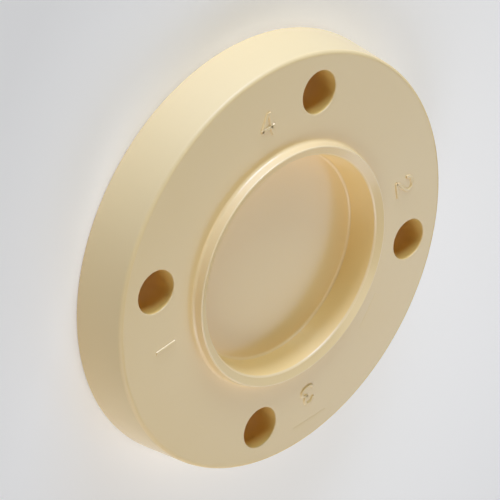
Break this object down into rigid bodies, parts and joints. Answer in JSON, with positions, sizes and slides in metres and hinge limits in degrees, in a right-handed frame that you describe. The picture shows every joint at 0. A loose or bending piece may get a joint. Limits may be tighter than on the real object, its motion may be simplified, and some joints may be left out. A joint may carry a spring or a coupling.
{
  "type": "blind flange",
  "caption": "Moulded plastic blind flange: a thick disc with a drafted rim, straight bolt holes and a raised ring round a shallow recess; flat sealing face with gasket grooves behind.",
  "frame": {"origin": "centre of the flat sealing face, on the flange's axis; the flange lies on this face", "axes": "+Z along the axis, from the sealing face towards the face with the ring and the recess; +X through the middle of a bolt hole"},
  "size_m": [0.1932, 0.1932, 0.0282],
  "materials": {
    "flange": "cream moulded plastic with a satin sheen"
  },
  "bodies": {
    "root": {"flange": "flange"}
  },
  "joints": []
}
